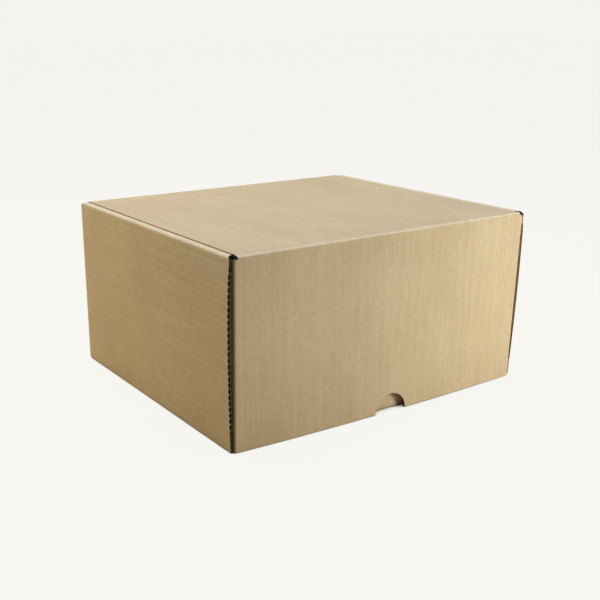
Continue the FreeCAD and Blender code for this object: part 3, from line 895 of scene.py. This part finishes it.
# %% [markdown]
# ## Flute mouths
# Where the board is cut across its flutes, the wavy fluting and the hollows beside it show. The wavy
# paper could be built on its own, but the hollows are what the eye reads, so the full board is kept and
# the hollows are taken out. One is shaped from a cube whose inner face is bent to half a sine wave,
# copied along the edge at the flutes' pitch on both sides of the fluting, and cut 5 mm deep.

# %% One hollow, and rows of them
HOLLOW_DEPTH = 5.0
HOLLOW_LENGTH = 2.9
HOLLOW_RISE = 0.86
HOLLOW_PARTS = 8
LINER = 0.18


def hollow(side):
    """One hollow between the fluting and a liner, along Z of the row, its mouth across Y."""
    bpy.ops.object.select_all(action="DESELECT")
    bpy.ops.mesh.primitive_cube_add(size=1)
    piece = bpy.context.object
    bpy.ops.object.mode_set(mode="EDIT")
    bpy.ops.transform.resize(value=(HOLLOW_RISE * MM, 2 * HOLLOW_DEPTH * MM, HOLLOW_LENGTH * MM))
    for part in range(1, HOLLOW_PARTS):
        bpy.ops.mesh.select_all(action="SELECT")
        bpy.ops.mesh.bisect(plane_co=(0, 0, (part / HOLLOW_PARTS - 0.5) * HOLLOW_LENGTH * MM),
                            plane_no=(0, 0, 1))
    bpy.ops.object.mode_set(mode="OBJECT")
    base = side * (BOARD / 2 - LINER)
    for corner in piece.data.vertices:
        inner = corner.co.x < 0
        rise = HOLLOW_RISE * math.cos(math.pi * corner.co.z / MM / HOLLOW_LENGTH) if inner else 0
        corner.co.x = (base - side * rise) * MM
    bpy.ops.object.mode_set(mode="EDIT")
    bpy.ops.mesh.select_all(action="SELECT")
    bpy.ops.mesh.remove_doubles(threshold=WELD)
    bpy.ops.mesh.normals_make_consistent(inside=False)
    bpy.ops.object.mode_set(mode="OBJECT")
    # The hollow's faces carry the near-black painted shade.
    piece.data.materials.append(hollow_shade_finish)
    return piece


def hollow_row(count, first):
    """Two interleaved rows of hollows along Z, from a first height, as one object."""
    rows = []
    for side, start in ((1, first), (-1, first + FLUTE_PITCH / 2)):
        piece = hollow(side)
        piece.data.transform(Matrix.Translation(mm(0, 0, start)))
        row = piece.modifiers.new("row", "ARRAY")
        row.count = count
        row.use_relative_offset = False
        row.use_constant_offset = True
        row.constant_offset_displace = mm(0, 0, FLUTE_PITCH)
        bpy.ops.object.modifier_apply(modifier=row.name)
        rows.append(piece)
    pick(*rows)
    bpy.ops.object.join()
    return rows[0]


print("each hollow is", HOLLOW_LENGTH, "mm long and", HOLLOW_RISE, "mm wide")

# %% [markdown]
# ## Hollows in the side walls
# Each side wall shows its hollows at both upright ends. The wall bulges, so a straight row would break
# through its outer paper: every corner of the row is moved out as far as the wall's mesh stands out at
# that height. The folds at the top are crushed nearly flat, with two short round holes left in each end.

# %% Hollows in the side walls' ends
STRIP_HOLLOW_RADIUS = 0.48
STRIP_HOLLOWS = ((102.1, LID_MID, -83.2, 85.0), (103.5, 103.4, -85.0, SIDE_REAR))


def wall_out(y, z):
    """How far the outer wall's mesh stands out, straight from one row of its corners to the next."""
    row_height = (BULGE_TOP - BULGE_FOOT) / SIDE_ROWS
    below = BULGE_FOOT + row_height * math.floor((z - BULGE_FOOT) / row_height)
    share = (z - below) / row_height
    return bulge(y, below) * (1 - share) + bulge(y, below + row_height) * share


def wall_row(side, end):
    """A row of hollows at one end of one side wall; on the right the wave starts half a flute lower."""
    row = hollow_row(SIDE_HOLLOWS, FIRST_HOLLOW)
    drop = FLUTE_PITCH / 2 if side > 0 else 0
    for corner in row.data.vertices:
        corner.co.z -= drop * MM
        corner.co.x += side * (HALF_WIDTH - BOARD / 2 + wall_out(end, corner.co.z / MM)) * MM
        corner.co.y += end * MM
    return row


def strip_hollow(x, y, z):
    """A short round hole in the end of a top fold."""
    bpy.ops.object.select_all(action="DESELECT")
    bpy.ops.mesh.primitive_cylinder_add(vertices=12, radius=STRIP_HOLLOW_RADIUS * MM, depth=10 * MM,
                                        location=mm(x, y, z), rotation=(math.radians(90), 0, 0))
    bpy.ops.object.transform_apply(location=True, rotation=True, scale=True)
    bpy.context.object.data.materials.append(hollow_shade_finish)
    return bpy.context.object


wall_hollows = [wall_row(side, end) for side in (-1, 1) for end in (SIDE_FRONT, SIDE_REAR)]
for side in (-1, 1):
    for x, z, *ends in STRIP_HOLLOWS:
        wall_hollows += [strip_hollow(side * x, end, z) for end in ends]
pick(*wall_hollows)
bpy.ops.object.join()
cut(box_sheet, wall_hollows[0])
print("hollows cut in four edges;", shell_facts(box_sheet))

# %% [markdown]
# ## Hollows in the flap's foot
# The flap's foot is cut across its flutes too. The same row is laid along the width, with its mouths
# down, and bowed as the foot is.

# %% Hollows in the flap's foot
FOOT_HOLLOWS = 59

foot_row = hollow_row(FOOT_HOLLOWS, -(FOOT_HOLLOWS - 0.5) / 2 * FLUTE_PITCH)
for corner in foot_row.data.vertices:
    out, up, along = corner.co / MM
    corner.co = mm(along, FLAP_MID - bow(along, FLAP_FOOT) + out, FLAP_FOOT + up)
cut(flap_sheet, foot_row)
print("hollows cut in the foot;", shell_facts(flap_sheet))

# %% [markdown]
# ## Smooth folds, crisp cuts
# A fold is rounded paper and a cut is a sharp corner. Smoothing by angle tells them apart: the six steps
# of a fold turn by 15 degrees each and are smoothed, and a cut turns by 90 and stays crisp.

# %% Smooth by angle
for sheet in (box_sheet, flap_sheet):
    pick(sheet)
    bpy.ops.object.shade_smooth_by_angle(angle=math.radians(30))
    print(sheet.name, "is smooth below 30 degrees")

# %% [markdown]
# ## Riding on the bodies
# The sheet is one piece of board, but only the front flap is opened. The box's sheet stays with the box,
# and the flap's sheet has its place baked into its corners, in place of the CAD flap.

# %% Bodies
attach(box_sheet, "box")
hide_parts("box_body")
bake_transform(flap_sheet)
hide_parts("front_flap")

# %% [markdown]
# ## The floor
# A box shot for a catalogue stands on white paper that is lit from all round, so the floor reads as white
# up to the box and darkens only in the last millimetres, where the board shades it. Lighting the floor
# that brightly would burn out the board. So the camera sees mostly a glow of its own, except in a nook,
# while the box is lit by light that bounces off a warm, pale floor.

# %% Pale studio floor
bpy.ops.object.select_all(action="DESELECT")
bpy.ops.mesh.primitive_plane_add(size=30)
floor = bpy.context.object
floor.name = "studio_floor"
floor_finish = bpy.data.materials.new("pale_paper_floor")
floor_finish.use_nodes = True
tree = floor_finish.node_tree
ground = tree.nodes["Principled BSDF"]
ground.inputs["Base Color"].default_value = linear("#D2C4A6")
ground.inputs["Roughness"].default_value = 0.9
ground.inputs["Specular IOR Level"].default_value = 0.0
glow = add(tree, "ShaderNodeEmission", in_Color=linear("#FAF9F5"), in_Strength=1.0)
seen = add(tree, "ShaderNodeLightPath")
nook = add(tree, "ShaderNodeAmbientOcclusion", samples=8, in_Distance=12 * MM)
open_air = add(tree, "ShaderNodeMapRange", {0: nook.outputs["AO"]}, in_1=0.32, in_2=0.47, in_4=0.94)
share = add(tree, "ShaderNodeMath", {0: seen.outputs["Is Camera Ray"], 1: open_air.outputs[0]},
            operation="MULTIPLY")
paper = add(tree, "ShaderNodeMixShader", {0: share.outputs[0], 1: ground.outputs[0], 2: glow.outputs[0]})
tree.links.new(paper.outputs[0], tree.nodes["Material Output"].inputs["Surface"])
floor.data.materials.append(floor_finish)

# %% [markdown]
# ## The backdrop
# Behind the box is the same white. The world gives it to the camera and to reflections at full strength,
# and lights the board itself only a little, in a warm tone, so that the lamps decide the shading.

# %% World
world = bpy.data.worlds.new("studio")
bpy.context.scene.world = world
world.use_nodes = True
sky = world.node_tree
paths = add(sky, "ShaderNodeLightPath")
seen = add(sky, "ShaderNodeMath", {0: paths.outputs["Is Camera Ray"], 1: paths.outputs["Is Glossy Ray"]},
           operation="MAXIMUM")
level = add(sky, "ShaderNodeMapRange", {0: seen.outputs[0]}, in_3=0.02, in_4=1.0)
tint = add(sky, "ShaderNodeMix", {0: seen.outputs[0]}, data_type="RGBA", in_6=linear("#FFE6BC"),
           in_7=linear("#F4F3EF"))
sky.links.new(tint.outputs[2], sky.nodes["Background"].inputs["Color"])
sky.links.new(level.outputs[0], sky.nodes["Background"].inputs["Strength"])
print("the world shows", round(level.inputs[4].default_value, 2), "and lights with",
      round(level.inputs[3].default_value, 2))

# %% [markdown]
# ## Three soft boxes
# The front is brightest at its right and fades to the left, the lid is evenly bright and the left wall is
# dim. A soft box low on the right and near the front gives that fade and the shadow in the notch, a wide
# one overhead lights the lid, and a small warm one at the left rear keeps the left wall from going black.

# %% Lamps
def softbox(name, place, size, power, colour):
    """A square lamp that faces the middle of the box."""
    bpy.ops.object.light_add(type="AREA", location=place)
    lamp = bpy.context.object
    lamp.name = name
    lamp.data.size = size
    lamp.data.energy = power
    lamp.data.color = linear(colour)[:3]
    lamp.visible_camera = False
    aim = Vector((0, 0, HEIGHT / 2 * MM)) - Vector(place)
    lamp.rotation_euler = aim.to_track_quat("-Z", "Y").to_euler()
    print(name, "is", round(aim.length, 2), "m from the box")


softbox("key_right", (0.26, -0.39, 0.10), 0.16, 1.36, "#F9FBFF")
softbox("top_fill", (0.0, 0.1, 1.3), 0.9, 17.4, "#E4ECFF")
softbox("left_fill", (-0.5, 0.55, 0.35), 0.3, 2.7, "#FFF0D2")

# %% [markdown]
# ## The camera
# The camera stands to the left of the front and a little above. Its place, lens and shift were worked
# out beforehand, from where the corners of the box should fall in a square frame, and the shift stays
# as small as that framing needs.

# %% Camera
CAMERA_AZIMUTH = math.radians(-33.48)
CAMERA_ELEVATION = math.radians(19.38)

bpy.ops.object.camera_add(location=(-0.3310, -0.4460, 0.2085))
camera = bpy.context.object
camera.rotation_euler = (math.radians(90) - CAMERA_ELEVATION, 0, CAMERA_AZIMUTH)
camera.data.lens = 54.53
camera.data.sensor_width = 36
camera.data.shift_x = 0.0843
camera.data.shift_y = 0.0783
camera.data.clip_start = 0.01
bpy.context.scene.camera = camera
bpy.context.scene.view_settings.view_transform = "Standard"
print("lens", round(camera.data.lens, 2), "mm, looking down by", round(math.degrees(CAMERA_ELEVATION), 1),
      "degrees")
